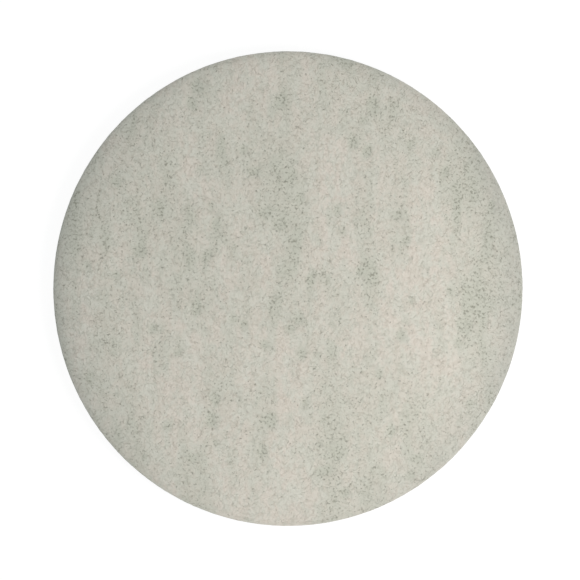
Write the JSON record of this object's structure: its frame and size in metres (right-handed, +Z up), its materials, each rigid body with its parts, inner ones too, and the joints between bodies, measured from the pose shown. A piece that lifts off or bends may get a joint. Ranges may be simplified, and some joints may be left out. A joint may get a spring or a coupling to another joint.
{
  "type": "floor polishing pad",
  "caption": "Thick round floor polishing pad of open bonded fibre web, slightly oval, with a rolled upper edge and a waisted cut wall.",
  "frame": {"origin": "middle of the underside, which is the driver face, where the pad rests on a floor", "axes": "+Z up through the thickness towards the working face, +Y along the web, which is the pad's longer way, +X across the web"},
  "size_m": [0.432, 0.437, 0.025],
  "materials": {
    "fibre_web": "matt open web of crimped fibres, off-white with a grey-beige cast"
  },
  "bodies": {
    "root": {"pad": "fibre_web"}
  },
  "joints": []
}
